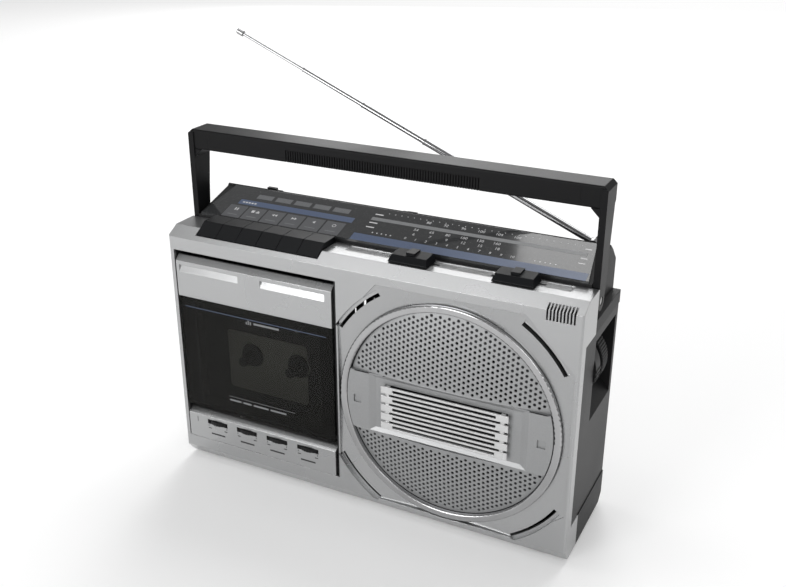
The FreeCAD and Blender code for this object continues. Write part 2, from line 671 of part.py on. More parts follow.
def build_speaker():
    ring = tube("y", (speaker_x, front + 0.4, speaker_z), ring_outer, ring_inner, 5.6)
    edges = [e for e in ring.Edges if abs(e.BoundBox.YMin - (front + 0.4)) < 0.01 and e.BoundBox.YLength < 0.01]
    save("speaker_ring", ring.makeFillet(1.2, edges))
    radius = (ring_inner ** 2 + grille_rise ** 2) / (2 * grille_rise)
    top_y = front - 1.5
    centre = Vector(speaker_x, top_y + radius, speaker_z)
    outer = Part.makeSphere(radius, centre)
    inner = Part.makeSphere(radius - 1.2, centre)
    disc = cylinder("y", (speaker_x, top_y - 1, speaker_z), ring_inner - 0.1, grille_rise + 3)
    dome = disc.common(outer).cut(inner)
    band = box(speaker_x - 90, speaker_x + 90, front - 5, front + 12, speaker_z + band_low, speaker_z + band_high)
    flat = cylinder("y", (speaker_x, front + 1.2, speaker_z), ring_inner - 0.1, 1.2).common(band)
    steps = disc.common(outer).cut(cylinder("y", (speaker_x, front + 2.4, speaker_z), ring_inner + 1, 20))
    for z in (speaker_z + band_low, speaker_z + band_high - 1.2):
        flat = flat.fuse(steps.common(box(-200, 200, -100, 100, z, z + 1.2)))
    fin_low = speaker_z + band_low + 4.6
    fin_high = speaker_z + band_high - 6.0
    pitch = (fin_high - fin_low) / fin_count
    opening = box(fin_left + 2, fin_right - 2, front - 5, front + 12, fin_low + 1, fin_high - 1)
    save("speaker_grille", dome.cut(band).fuse(flat.cut(opening)))
    fins = []
    for i in range(fin_count):
        z0 = fin_low + i * pitch
        fin = box(fin_left, fin_right, front - 1.4, front - 0.3, z0 + fin_gap / 2, z0 + pitch - fin_gap / 2)
        middle = z0 + pitch / 2
        fins.append(fin.cut(box(fin_left + fin_end, fin_right - fin_end, front - 2, front + 2, middle - fin_slot / 2,
                                middle + fin_slot / 2)))
    # two ribs behind the fins join them and clip behind the band's opening
    for x in (fin_left + 3.0, fin_right - 6.0):
        fins.append(box(x, x + 3.0, front - 0.4, front + 2.2, fin_low + 1.2, fin_high - 1.2))
    joined = fins[0]
    for fin in fins[1:]:
        joined = joined.fuse(fin)
    save("grille_fins", joined)

    seat_y = front + wall + 4.0
    cone_deep = 24.0
    basket = tube("y", (speaker_x, seat_y + 0.5, speaker_z), basket_radius + 20, basket_radius - 8, 2.0)
    shell_out = Part.makeCone(basket_radius - 5, magnet_radius - 4, cone_deep, Vector(speaker_x, seat_y + 2, speaker_z),
                              Vector(0, 1, 0))
    shell_in = Part.makeCone(basket_radius - 7, magnet_radius - 6, cone_deep, Vector(speaker_x, seat_y + 2, speaker_z),
                             Vector(0, 1, 0))
    magnet = cylinder("y", (speaker_x, seat_y + 2 + cone_deep, speaker_z), magnet_radius, 16)
    mouth = cylinder("y", (speaker_x, seat_y, speaker_z), basket_radius - 8, 3)
    save("speaker_basket", basket.fuse(shell_out.cut(shell_in)).cut(mouth).fuse(magnet))
    cone_out = Part.makeCone(basket_radius - 9, 14, 18, Vector(speaker_x, seat_y + 2, speaker_z), Vector(0, 1, 0))
    cone_in = Part.makeCone(basket_radius - 10.5, 12.5, 18, Vector(speaker_x, seat_y + 2, speaker_z), Vector(0, 1, 0))
    cap = cylinder("y", (speaker_x, seat_y + 17, speaker_z), 14, 3)
    save("speaker_cone", cone_out.cut(cone_in).fuse(cap))


def build_tuning():
    x = right + wheel_proud - wheel_radius
    for name, (near, far), ribs in (("fine_tuning_wheel", fine_wheel, 3), ("tuning_wheel", main_wheel, 72)):
        wheel = cylinder("y", (x, front + near, wheel_height), wheel_radius - 0.6, far - near)
        wheel = wheel.cut(cylinder("y", (x, front + near - 1, wheel_height), tuning_shaft_radius + shaft_gap, 30))
        lands = []
        for k in range(ribs):
            a = math.radians(-16 + 8 * k if ribs == 3 else 360 / ribs * k)
            rib = box(-0.5, 0.5, front + near, front + far, wheel_radius - 2, wheel_radius)
            rib.rotate(Vector(0, 0, 0), Vector(0, 1, 0), 90 - math.degrees(a))
            rib.translate(Vector(x, 0, wheel_height))
            lands.append(rib)
        save(name, wheel.fuse(lands))
    start = front + fine_wheel[0] - 3.5
    end = front + main_wheel[1] + 2.5
    shaft = cylinder("y", (x, start, wheel_height), tuning_shaft_radius, end - start)
    shaft = shaft.fuse(cylinder("y", (x, front + fine_wheel[1] + 0.5, wheel_height), 5.0,
                                main_wheel[0] - fine_wheel[1] - 1.0))
    block = box(x - 12, right - recess_depth - 2.5, end - 0.5, end + 12, wheel_height - 12, wheel_height + 12)
    save("tuning_capacitor", shaft.fuse(block))


def build_handle():
    y = front + pivot_depth
    outer = right - 0.4
    inner = outer - arm_thickness
    rear = y + arm_radius
    arm_outline = [(y - arm_radius, pivot_height), (y - arm_radius, grip_high - 2), (front + grip_rear, grip_high - 2),
                   (front + grip_rear - 5, grip_low - 30), (rear, pivot_height)]
    arm = prism("x", arm_outline, inner, outer)
    arm = arm.fuse(cylinder("x", (inner, y, pivot_height), arm_radius, arm_thickness))
    block = box(right - grip_end, outer, front + grip_front, front + grip_rear, grip_low, grip_high)
    block = softened(block, grip_round, "x")
    gusset = prism("y", [(inner + 0.5, grip_low), (inner - 6, grip_low), (inner + 0.5, grip_low - 6.5)],
                   front + grip_front, front + grip_rear - 3)
    arm = arm.fuse(block).fuse(gusset)
    corner = [(outer - 3, grip_high), (outer, grip_high - 3), (outer + 1, grip_high - 3), (outer + 1, grip_high + 1),
              (outer - 3, grip_high + 1)]
    arm = arm.cut(prism("y", corner, -60, 60))
    arm = arm.cut(cylinder("x", (inner - 1, y, pivot_height), handle_pin_radius + shaft_gap, arm_thickness + 2))
    core = box(-right + grip_end - 0.5, right - grip_end + 0.5, front + grip_front + 4, front + grip_rear - 4,
               grip_low + 3.5, grip_high - 3.5)
    frame = arm.fuse(mirrored(arm)).fuse(core)
    save("handle_frame", frame)
    reach = right - grip_end
    grip = softened(box(-reach, reach, front + grip_front, front + grip_rear, grip_low, grip_high), grip_round, "x")
    grip = grip.cut(core)
    width, deep = rib_groove
    grooves = []
    for i in range(rib_count):
        x = (i - rib_count / 2) * rib_pitch
        face = front + grip_front
        grooves.append(box(x, x + width, face - 1, face + deep, grip_low - 1, grip_low + rib_height))
        grooves.append(box(x, x + width, face - 1, front + grip_rear - 6, grip_low - 1, grip_low + deep))
    grip = grip.cut(grooves)
    save("handle_grip", grip)
    start = housing_half - wall - 0.2
    pin = cylinder("x", (start, y, pivot_height), handle_pin_radius, outer - start - 0.4)
    pin = pin.fuse(cylinder("x", (start - 0.8, y, pivot_height), handle_pin_radius + 1.5, 0.8 + 0.2))
    pin = pin.cut(box(housing_half - wall, housing_half, y - 4.6, y + 4.6, pivot_height - 4.6, pivot_height + 4.6)
                  .cut(cylinder("x", (start, y, pivot_height), handle_pin_radius, 10)))
    save("handle_pins", pin, mirrored(pin))


def along_aerial(solid):
    """Turns a solid made along +X from the origin to lie along the raised aerial."""
    solid.rotate(Vector(0, 0, 0), Vector(0, 1, 0), 180 + math.degrees(aerial_lean))
    solid.translate(Vector(aerial_x, front + aerial_depth, aerial_height))
    return solid


def build_aerial():
    y = front + aerial_depth
    swivel = cylinder("z", (aerial_x, y, aerial_height - 18), 3.0, 11)
    swivel = swivel.fuse(cylinder("z", (aerial_x, y, aerial_height - 7.3), 5.0, 2.5))
    ears = []
    for y0 in (y - 4.8, y + 2.9):
        ear = box(aerial_x - 3.4, aerial_x + 3.4, y0, y0 + 1.9, aerial_height - 5.4, aerial_height)
        ears.append(ear.fuse(cylinder("y", (aerial_x, y0, aerial_height), 3.4, 1.9)))
    swivel = swivel.fuse(ears)
    hole = cylinder("y", (aerial_x, y - 6, aerial_height), 1.2, 12)
    pin = cylinder("y", (aerial_x, y - 5.1, aerial_height), 1.2, 10.2)
    save("aerial_swivel", swivel.cut(hole).fuse(pin))
    first = aerial_radii[0]
    lowest = tube("x", (8, 0, 0), first, first - aerial_tube, aerial_first - 8)
    lowest = lowest.fuse(tube("x", (aerial_first - 1.2, 0, 0), first + 0.25, first - aerial_tube, 1.2))
    eye = cylinder("y", (0, -2.5, 0), 3.2, 5.0).fuse(cylinder("x", (0.5, 0, 0), 2.2, 8.5))
    eye = eye.cut(cylinder("y", (0, -4, 0), 1.2 + shaft_gap, 8))
    save("aerial_base_tube", along_aerial(lowest.fuse(eye)))
    end = aerial_first
    names = ("aerial_second_tube", "aerial_third_tube")
    for name, radius, shown in zip(names, aerial_radii[1:3], aerial_shown[:2]):
        end += shown
        section = tube("x", (end - aerial_length, 0, 0), radius, radius - aerial_tube, aerial_length)
        section = section.fuse(tube("x", (end - 0.9, 0, 0), radius + 0.25, radius - aerial_tube, 0.9))
        save(name, along_aerial(section))
    end += aerial_shown[2]
    section = cylinder("x", (end - aerial_length, 0, 0), aerial_radii[3], aerial_length)
    tip = cylinder("x", (end - 0.5, 0, 0), aerial_tip[0], aerial_tip[1])
    tip = tip.makeFillet(0.8, [e for e in tip.Edges if e.BoundBox.XLength < 0.01])
    save("aerial_tip_section", along_aerial(section.fuse(tip)))


def build_back():
    hinge = (back - 1.25, hatch_low + 1.5)
    cover = box(hatch_left + fit_gap, hatch_right - fit_gap, back - wall, back, hatch_low + cover_swing_gap,
                hatch_high - fit_gap)
    for x0 in (hatch_left + 22, hatch_right - 34):
        cover = cover.cut(box(x0 - fit_gap, x0 + 12 + fit_gap, back - wall - 1, back + 1, hatch_low - 1, hatch_low + 4))
    for x0 in (hatch_left + 22, hatch_right - 34):
        knuckle = cylinder("x", (x0, hinge[0], hinge[1]), 1.25, 12)
        cover = cover.fuse(knuckle).fuse(box(x0, x0 + 12, back - wall, back, hinge[1], hatch_low + 5))
    cover = cover.cut(box(hatch_left + 74, hatch_left + 92, back - 1.0, back + 1, hatch_high - 8, hatch_high - 4))
    save("battery_cover", cover)
    depth = 30.0
    y0, y1 = back - wall - 0.3 - depth, back - wall - 0.3
    tray = box(hatch_left - 2, hatch_right + 2, y0, y1, hatch_low - 2, hatch_high + 2)
    tray = tray.cut(box(hatch_left, hatch_right, y0 + 1.6, y1 + 1, hatch_low, hatch_high))
    save("battery_tray", tray)
    springs = []
    for z in (hatch_low + 14, hatch_high - 14):
        for x, way in ((hatch_left, 1), (hatch_right, -1)):
            middle = y0 + 16
            start = x if way > 0 else x - 3
            plate = box(x if way > 0 else x - 0.6, x + 0.6 if way > 0 else x, middle - 9, middle + 9, z - 9, z + 9)
            springs.append(plate.fuse(cylinder("x", (start, middle, z), 4.0, 3)))
    save("battery_contacts", *springs)
    inlet = box(96.2, 121.8, back - wall - 12, back - 0.4, 20.2, 35.8)
    socket = box(100, 118, back - 10, back + 1, 24, 32)
    inlet = inlet.cut(socket)
    for x in (104.5, 113.5):
        inlet = inlet.fuse(cylinder("y", (x, back - 11, 28.0), 1.2, 8))
    save("mains_inlet", inlet)
    core = box(84, 132, 9, 37, 50, 88).cut([box(92, 101, 0, 40, 57, 81), box(115, 124, 0, 40, 57, 81)])
    coil = box(93, 123, 6, 40, 58, 80).cut(box(101, 115, 5, 41, 57, 81))
    save("mains_transformer", core.fuse(coil))
    parts = [cylinder("y", (x, 12, z), r, 12.5) for x, z, r in ((0, 90, 5), (16, 90, 5), (60, 150, 8), (40, 150, 4))]
    parts.append(box(-6, 24, 14, 24.5, 140, 160))
    board = box(-12, 78, 24, 25.6, 76, 168).fuse(parts)
    save("radio_board", board, cylinder("x", (0, 3, 186), 4.5, 108))
    save("microphone", cylinder("y", (right - 14.0, front + 8.2, 186.0), 4.8, 6))
    feet = []
    for x in (left + 24, right - 24):
        for y in (front + 17, back - 16):
            foot = cylinder("z", (x, y, 0), 7.0, foot_height)
            low_edge = [e for e in foot.Edges if e.BoundBox.ZMax < 0.01]
            feet.append(foot.makeChamfer(0.6, low_edge))
    save("feet", *feet)
    screws = []
    for x, z in post_places:
        screw = cylinder("y", (x, post_meet - 14, z), screw_radius, 20.5)
        head = cylinder("y", (x, post_meet + 6, z), 3.0, 2.2)
        slot = box(x - 0.4, x + 0.4, post_meet + 7.2, post_meet + 9, z - 2.2, z + 2.2)
        screws.append(screw.fuse(head).cut(slot))
    save("case_screws", *screws)


build_front_shell()
build_rear_shell()
build_side_panels()
build_dial()
build_deck()
build_door()
build_fascia()
build_keys()
build_sliders()
build_speaker()
build_tuning()
build_handle()
build_aerial()
build_back()
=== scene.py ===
import math

import bmesh
import bpy
from mathutils import Matrix, Vector, geometry


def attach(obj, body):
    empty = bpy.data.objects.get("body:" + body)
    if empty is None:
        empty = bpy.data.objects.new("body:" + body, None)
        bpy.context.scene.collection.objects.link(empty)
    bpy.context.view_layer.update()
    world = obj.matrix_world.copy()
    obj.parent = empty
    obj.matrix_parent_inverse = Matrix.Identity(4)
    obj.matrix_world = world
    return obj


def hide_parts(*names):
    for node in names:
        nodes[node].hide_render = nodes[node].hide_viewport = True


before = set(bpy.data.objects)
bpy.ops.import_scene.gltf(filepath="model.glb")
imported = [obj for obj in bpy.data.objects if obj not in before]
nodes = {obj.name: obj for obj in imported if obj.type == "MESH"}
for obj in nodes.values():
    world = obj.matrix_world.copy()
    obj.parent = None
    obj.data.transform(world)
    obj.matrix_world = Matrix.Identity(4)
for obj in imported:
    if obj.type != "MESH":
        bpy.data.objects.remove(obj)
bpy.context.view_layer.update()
mm = 0.001
print("frame loaded:", len(nodes), "nodes")


# shader helpers: a wire is one socket, and sums on wires add Math nodes
class Wire:
    def __init__(self, graph, socket):
        self.graph = graph
        self.socket = socket

    def maths(self, operation, a, b=0.0):
        return self.graph.add("ShaderNodeMath", {"operation": operation}, {0: a, 1: b})

    def __add__(self, other):
        return self.maths("ADD", self, other)

    def __sub__(self, other):
        return self.maths("SUBTRACT", self, other)

    def __rsub__(self, other):
        return self.maths("SUBTRACT", other, self)

    def __mul__(self, other):
        return self.maths("MULTIPLY", self, other)

    __radd__ = __add__
    __rmul__ = __mul__

    def eased(self, low, high, toLow=0.0, toHigh=1.0):
        ends = {"From Min": low, "From Max": high, "To Min": toLow, "To Max": toHigh}
        return self.graph.add("ShaderNodeMapRange", {"interpolation_type": "SMOOTHSTEP"}, {"Value": self, **ends})


class Graph:
    def __init__(self, name):
        self.material = bpy.data.materials.new(name)
        self.material.use_nodes = True
        self.tree = self.material.node_tree
        self.tree.nodes.clear()
        self.place = self.add("ShaderNodeTexCoord", output="Object")

    def add(self, kind, settings=None, values=None, output=0):
        node = self.tree.nodes.new(kind)
        for key, value in (settings or {}).items():
            setattr(node, key, value)
        for key, value in (values or {}).items():
            if isinstance(value, Wire):
                self.tree.links.new(value.socket, node.inputs[key])
            else:
                node.inputs[key].default_value = value
        return Wire(self, node.outputs[output])

    def noise(self, scale, detail=2.0, stretch=None):
        where = self.place
        if stretch:
            where = self.add("ShaderNodeMapping", None, {"Vector": where, "Scale": stretch})
        return self.add("ShaderNodeTexNoise", None, {"Vector": where, "Scale": scale, "Detail": detail})

    def blend(self, amount, a, b):
        return self.add("ShaderNodeMix", {"data_type": "RGBA"}, {0: amount, 6: rgba(a), 7: rgba(b)}, output=2)

    def rounded(self, radius):
        return self.add("ShaderNodeBevel", {"samples": 4}, {"Radius": radius})

    def bump(self, height, strength, distance, normal):
        return self.add("ShaderNodeBump", None, {"Height": height, "Strength": strength, "Distance": distance,
                                                 "Normal": normal})

    def edge(self, radius):
        # how far the rounded normal leans from the flat one: 1 along a sharp corner
        self.soft = self.rounded(radius)
        flat = self.add("ShaderNodeNewGeometry", output="Normal")
        lean = self.add("ShaderNodeVectorMath", {"operation": "DOT_PRODUCT"}, {0: self.soft, 1: flat},
                        output="Value")
        return (1 - lean).eased(0.02, 0.25)

    def finish(self, **inputs):
        normal = {"Normal": inputs.pop("normal")} if "normal" in inputs else {}
        values = {key.replace("_", " "): value for key, value in inputs.items()}
        for key, value in values.items():
            if key in ("Base Color", "Emission Color"):
                values[key] = rgba(value)
        surface = self.add("ShaderNodeBsdfPrincipled", None, {**values, **normal})
        output = self.tree.nodes.new("ShaderNodeOutputMaterial")
        self.tree.links.new(surface.socket, output.inputs["Surface"])
        return self.material


def rgba(colour):
    if isinstance(colour, Wire) or len(colour) == 4:
        return colour
    return (*colour, 1.0)


def shade(colour, factor):
    return tuple(min(1.0, part * factor) for part in colour)


# finishes
def paintedPlastic(name, look):
    # moulded or painted plastic: patchy colour, fine grain, and a painted highlight that lightens the edges in
    # patches
    g = Graph(name)
    edge = g.edge(look.get("edge", 0.0005))
    patches = g.noise(14.0, 3.0)
    fine = g.noise(look.get("grain", 2600.0), 2.0)
    # painted highlight: the edge mask, broken up by noise, lightens the colour along edges
    edgeHighlight = edge * g.noise(90.0, 4.0).eased(0.42, 0.62)
    dirt = g.noise(5.0, 4.0).eased(0.45, 0.75)
    base, vary = look["colour"], look.get("vary", 0.05)
    colour = g.blend(patches, shade(base, 1 - vary), shade(base, 1 + vary))
    colour = g.blend(fine.eased(0.35, 0.65) * look.get("sparkle", 0.0), colour, shade(base, 1.35))
    colour = g.blend(edgeHighlight * look.get("wear", 0.3), colour, look.get("worn", shade(base, 1.6)))
    rough = look["rough"] + (patches - 0.5) * 0.10 + dirt * 0.05 + edgeHighlight * 0.08
    bump = g.bump(fine, look.get("texture", 0.12), 0.0002, g.soft)
    return g.finish(Base_Color=colour, Roughness=rough, Metallic=look.get("metal", 0.0), normal=bump,
                    Specular_IOR_Level=look.get("shine", 0.5))


def brightMetal(name, look):
    # plated or spun metal with faint turning lines and a few rubbed places
    g = Graph(name)
    lines = g.noise(look.get("grain", 900.0), 2.0, look.get("stretch", (1.0, 1.0, 0.03)))
    smears = g.noise(30.0, 4.0)
    colour = g.blend(smears.eased(0.35, 0.8), look["colour"], shade(look["colour"], 0.86))
    rough = look["rough"] + (lines - 0.5) * 0.12 + smears.eased(0.4, 0.8) * 0.08
    bump = g.bump(lines, 0.05, 0.0001, g.rounded(0.0003))
    return g.finish(Base_Color=colour, Roughness=rough, Metallic=1.0, normal=bump)


def clearPlastic(name, look):
    # clear or smoked panel: dust and hair scratches, seen mostly as reflection
    g = Graph(name)
    scratches = g.noise(700.0, 2.0, (1.0, 1.0, 0.02)).eased(0.62, 0.72)
    dust = g.noise(1800.0, 1.0).eased(0.66, 0.74)
    haze = g.noise(18.0, 4.0)
    colour = g.blend(dust * 0.35, look["colour"], (0.3, 0.3, 0.3))
    rough = look["rough"] + haze.eased(0.4, 0.8) * 0.05 + scratches * 0.06
    bump = g.bump(haze, 0.02, 0.0004, g.rounded(0.0004))
    return g.finish(Base_Color=colour, Roughness=rough, Alpha=look.get("alpha", 1.0), normal=bump,
                    Coat_Weight=look.get("coat", 0.15), Coat_Roughness=0.03,
                    Specular_IOR_Level=look.get("shine", 0.4))


def inkFinish(name, look):
    # printed marks: slightly uneven ink
    g = Graph(name)
    uneven = g.noise(1500.0, 2.0)
    colour = g.blend(uneven.eased(0.35, 0.7), shade(look["colour"], 0.85), look["colour"])
    return g.finish(Base_Color=colour, Roughness=look["rough"] + uneven * 0.08)


# in each look, the two edge keys set how strongly, and to what lighter colour, edges get the painted highlight
finishLooks = {
    "silverFront": (paintedPlastic, {
        "colour": (0.37, 0.373, 0.376), "rough": 0.27, "metal": 0.88, "vary": 0.03, "sparkle": 0.3,
        "wear": 0.35, "worn": (0.6, 0.6, 0.6), "texture": 0.10}),
    "silverTrim": (paintedPlastic, {
        "colour": (0.46, 0.463, 0.466), "rough": 0.25, "metal": 0.85, "vary": 0.03, "sparkle": 0.3,
        "wear": 0.3, "worn": (0.7, 0.7, 0.7)}),
    "caseBlack": (paintedPlastic, {
        "colour": (0.012, 0.012, 0.0125), "rough": 0.5, "grain": 1500.0, "vary": 0.15, "texture": 0.35,
        "wear": 0.3, "worn": (0.05, 0.05, 0.05), "shine": 0.18}),
    "panelBlack": (paintedPlastic, {
        "colour": (0.010, 0.010, 0.0105), "rough": 0.42, "grain": 1800.0, "vary": 0.15, "texture": 0.3,
        "wear": 0.3, "worn": (0.045, 0.045, 0.045), "shine": 0.16}),
    "handleBlack": (paintedPlastic, {
        "colour": (0.006, 0.006, 0.0065), "rough": 0.38, "grain": 2200.0, "vary": 0.15, "texture": 0.15,
        "wear": 0.3, "worn": (0.03, 0.03, 0.03), "shine": 0.1}),
    "keyBlack": (paintedPlastic, {
        "colour": (0.007, 0.0075, 0.0085), "rough": 0.36, "grain": 2400.0, "vary": 0.1, "texture": 0.12,
        "wear": 0.4, "worn": (0.05, 0.05, 0.05), "shine": 0.1}),
    "innerDark": (paintedPlastic, {
        "colour": (0.012, 0.012, 0.013), "rough": 0.55, "texture": 0.2, "shine": 0.3}),
    "deckPlate": (paintedPlastic, {
        "colour": (0.22, 0.22, 0.185), "rough": 0.45, "vary": 0.1, "metal": 0.2}),
    "whiteBars": (paintedPlastic, {
        "colour": (0.56, 0.56, 0.56), "rough": 0.26, "vary": 0.03, "metal": 0.4, "wear": 0.2,
        "worn": (0.8, 0.8, 0.8)}),
    "grilleSteel": (paintedPlastic, {
        "colour": (0.27, 0.273, 0.276), "rough": 0.42, "metal": 0.6, "vary": 0.05, "sparkle": 0.25,
        "edge": 0.0003}),
    "boardBrown": (paintedPlastic, {"colour": (0.30, 0.18, 0.08), "rough": 0.5, "vary": 0.12}),
    "softRubber": (paintedPlastic, {
        "colour": (0.010, 0.010, 0.010), "rough": 0.72, "vary": 0.2, "texture": 0.4, "shine": 0.3}),
    "paperCone": (paintedPlastic, {
        "colour": (0.010, 0.010, 0.010), "rough": 0.9, "vary": 0.25, "grain": 900.0, "texture": 0.6,
        "shine": 0.2}),
    "brightRing": (brightMetal, {"colour": (0.43, 0.43, 0.435), "rough": 0.16}),
    "chrome": (brightMetal, {
        "colour": (0.33, 0.33, 0.335), "rough": 0.14, "grain": 500.0, "stretch": (0.05, 1.0, 1.0)}),
    "platedSteel": (brightMetal, {"colour": (0.50, 0.50, 0.49), "rough": 0.30}),
    "ironDark": (brightMetal, {"colour": (0.10, 0.10, 0.105), "rough": 0.45}),
    "brassWarm": (brightMetal, {"colour": (0.72, 0.55, 0.28), "rough": 0.28}),
    "dialGloss": (clearPlastic, {"colour": (0.030, 0.031, 0.032), "rough": 0.07}),
    "smokedWindow": (clearPlastic, {
        "colour": (0.006, 0.006, 0.005), "rough": 0.07, "alpha": 0.5, "shine": 0.16, "coat": 0.0}),
    "inkWhite": (inkFinish, {"colour": (0.62, 0.62, 0.63), "rough": 0.35}),
    "inkGrey": (inkFinish, {"colour": (0.17, 0.175, 0.18), "rough": 0.35}),
    "inkTile": (inkFinish, {"colour": (0.085, 0.088, 0.094), "rough": 0.30}),
    "inkBlue": (inkFinish, {"colour": (0.065, 0.095, 0.17), "rough": 0.30}),
    "inkBlack": (inkFinish, {"colour": (0.010, 0.010, 0.011), "rough": 0.40}),
}
finishes = {name: make(name, look) for name, (make, look) in finishLooks.items()}

wearsFinish = {
    "silverFront": ["front_shell", "door_panel", "control_fascia"],
    "caseBlack": ["rear_shell", "battery_cover"],
    "panelBlack": ["side_panels", "fine_tuning_wheel", "tuning_wheel", "volume_wheel", "treble_wheel", "bass_wheel",
                   "mic_volume_wheel"],
    "handleBlack": ["handle_frame", "handle_grip"],
    "keyBlack": ["pause_key", "stop_key", "rewind_key", "forward_key", "play_key", "record_key",
                 "function_slider", "band_slider"],
    "innerDark": ["headphone_jack", "deck_frame", "cassette_holder", "battery_tray", "mains_inlet", "microphone",
                  "supply_spindle", "takeup_spindle", "tuning_capacitor"],
    "dialGloss": ["dial_lens"],
    "smokedWindow": ["door_window"],
    "inkWhite": ["dial_pointer"],
    "whiteBars": ["grille_fins"],
    "grilleSteel": ["speaker_grille"],
    "brightRing": ["speaker_ring"],
    "chrome": ["aerial_swivel", "aerial_base_tube", "aerial_second_tube", "aerial_third_tube",
               "aerial_tip_section"],
    "platedSteel": ["case_screws", "handle_pins", "battery_contacts", "deck_motor",
                    "capstan_flywheel", "head_bridge", "tape_heads"],
    "ironDark": ["mains_transformer", "speaker_basket", "key_mount", "slide_switches"],
    "brassWarm": ["motor_pulley"],
    "boardBrown": ["radio_board", "tone_controls"],
    "softRubber": ["feet", "drive_belt", "pinch_roller"],
    "paperCone": ["speaker_cone"],
}
for finish, names in wearsFinish.items():
    for name in names:
        nodes[name].data.materials.clear()
        nodes[name].data.materials.append(finishes[finish])
print("finishes made:", len(finishes))


# mesh helpers
def arcPoints(u, v, radius, start, end, steps):
    # points along an arc, its two ends among them
    return [(u + radius * math.cos(start + (end - start) * i / steps),
             v + radius * math.sin(start + (end - start) * i / steps)) for i in range(steps + 1)]


def circlePoints(u, v, radius, sides, start=0.0):
    return arcPoints(u, v, radius, start, start + math.tau, sides)[:sides]


def addPiece(name, verts, faces, body, finish):
    mesh = bpy.data.meshes.new(name)
    mesh.from_pydata([Vector(v) for v in verts], [], faces)
    mesh.validate()
    mesh.update()
    piece = bpy.data.objects.new(name, mesh)
    bpy.context.scene.collection.objects.link(piece)
    mesh.materials.append(finishes[finish])
    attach(piece, body)
    return piece


class Print:
    # marks printed on one surface: shapes are given flat and laid on it a hair proud
    def __init__(self, lay, lift=0.05):
        self.lay = lay
        self.lift = lift
        self.verts = []
        self.faces = []

    def shape(self, outline):
        first = len(self.verts)
        count = len(outline)
        self.verts += [self.lay(u, v, self.lift) for u, v in outline]
        self.verts += [self.lay(u, v, -0.04) for u, v in outline]
        self.faces.append(list(range(first, first + count)))
        self.faces.append(list(range(first + 2 * count - 1, first + count - 1, -1)))
        for i in range(count):
            j = (i + 1) % count
            self.faces.append([first + j, first + i, first + count + i, first + count + j])

    def bar(self, u0, u1, v0, v1):
        self.shape([(u0, v0), (u1, v0), (u1, v1), (u0, v1)])

    def dot(self, u, v, radius, sides=14):
        self.shape(circlePoints(u, v, radius, sides))

    def ring(self, u, v, radius, width, sides=20):
        inner = arcPoints(u, v, radius - width, 0.0, math.tau, sides)
        outer = arcPoints(u, v, radius, 0.0, math.tau, sides)
        for i in range(sides):
            self.shape([inner[i], outer[i], outer[i + 1], inner[i + 1]])

    def arrow(self, u, v, size, way):
        self.shape([(u, v - size), (u + way * size * 1.5, v), (u, v + size)][::way])

    def number(self, text, u, v, height):
        letters = bpy.data.curves.new("digits", "FONT")
        letters.body = text
        letters.size = height * 1.38
        letters.align_x = "CENTER"
        letters.align_y = "CENTER"
        letters.resolution_u = 2
        holder = bpy.data.objects.new("digits", letters)
        flat = bpy.data.meshes.new_from_object(holder)
        first = len(self.verts)
        self.verts += [self.lay(u + p.co.x, v + p.co.y, self.lift) for p in flat.vertices]
        self.faces += [[first + i for i in face.vertices] for face in flat.polygons]
        bpy.data.objects.remove(holder)
        bpy.data.meshes.remove(flat)

    def make(self, name, body, finish, slot):
        return addPiece(name, self.verts, self.faces, body, finish)


# loudspeaker grille: a domed sheet with real holes, split by a flat band (mm, from the grille's middle)
grille = {
    "middle": (68.1, 95.7), "radius": 77.6, "rise": 5.5, "crown": -46.5, "thick": 0.8,
    "hole": 1.12, "holeSides": 8, "column": 3.3, "row": 3.9, "rim": 2.2, "bandClear": 2.4,
    "bandLow": -25.7, "bandHigh": 20.8, "bandDepth": -44.0,
    "sunkHalf": 60.0, "sink": 1.4, "rampWide": 5.0, "rampHigh": 3.0,
    "dimple": 69.5, "dimpleHalf": 3.0, "dimpleDeep": 1.2,
    "opening": (-47.2, 44.6, -20.1, 13.8),
}


def domeDepth(u, v):
    ball = (grille["radius"] ** 2 + grille["rise"] ** 2) / (2 * grille["rise"])
    return grille["crown"] + ball - math.sqrt(ball ** 2 - u * u - v * v)


def bandDepth(u, v):
    return grille["bandDepth"]


def sunkDepth(u, v):
    return grille["bandDepth"] + grille["sink"]


def cutSheet(outline, holes):
    # triangles that fill an outline but not its holes
    points = [Vector(p) for p in outline]
    loops = [list(range(len(outline)))]
    for hole in holes:
        loops.append(list(range(len(points), len(points) + len(hole)))[::-1])
        points += [Vector(p) for p in hole]
    verts, _, faces, *_ = geometry.delaunay_2d_cdt(points, [], loops, 2, 1e-5)
    return verts, faces


class Sheet:
    # thin pieces seen from the front: u across, v up, and a depth
    def __init__(self):
        self.verts = []
        self.faces = []

    def points(self, places):
        first = len(self.verts)
        across, up = grille["middle"]
        self.verts += [((across + u) * mm, depth * mm, (up + v) * mm) for u, v, depth in places]
        return first

    def fill(self, outline, holes, depthAt):
        flat, tris = cutSheet(outline, holes)
        first = self.points([(p.x, p.y, depthAt(p.x, p.y)) for p in flat])
        self.faces += [[first + i for i in tri] for tri in tris]

    def ribbon(self, near, far):
        # faces between two rows of points
        first, second = self.points(near), self.points(far)
        self.faces += [[first + i, second + i, second + i + 1, first + i + 1] for i in range(len(near) - 1)]


def holesIn(chord, side):
    # staggered columns of holes over one half of the dome, clear of the band and the rim
    holes = []
    columns = int(grille["radius"] / grille["column"])
    rows = int(grille["radius"] / grille["row"]) + 1
    for c in range(-columns, columns + 1):
        for r in range(-rows, rows + 1):
            u = c * grille["column"]
            v = (r + (0.5 if c % 2 else 0.0)) * grille["row"]
            clearOfBand = (v - chord) * side >= grille["bandClear"]
            if clearOfBand and math.hypot(u, v) <= grille["radius"] - grille["rim"]:
                holes.append(circlePoints(u, v, grille["hole"], grille["holeSides"], math.pi / 8))
    return holes


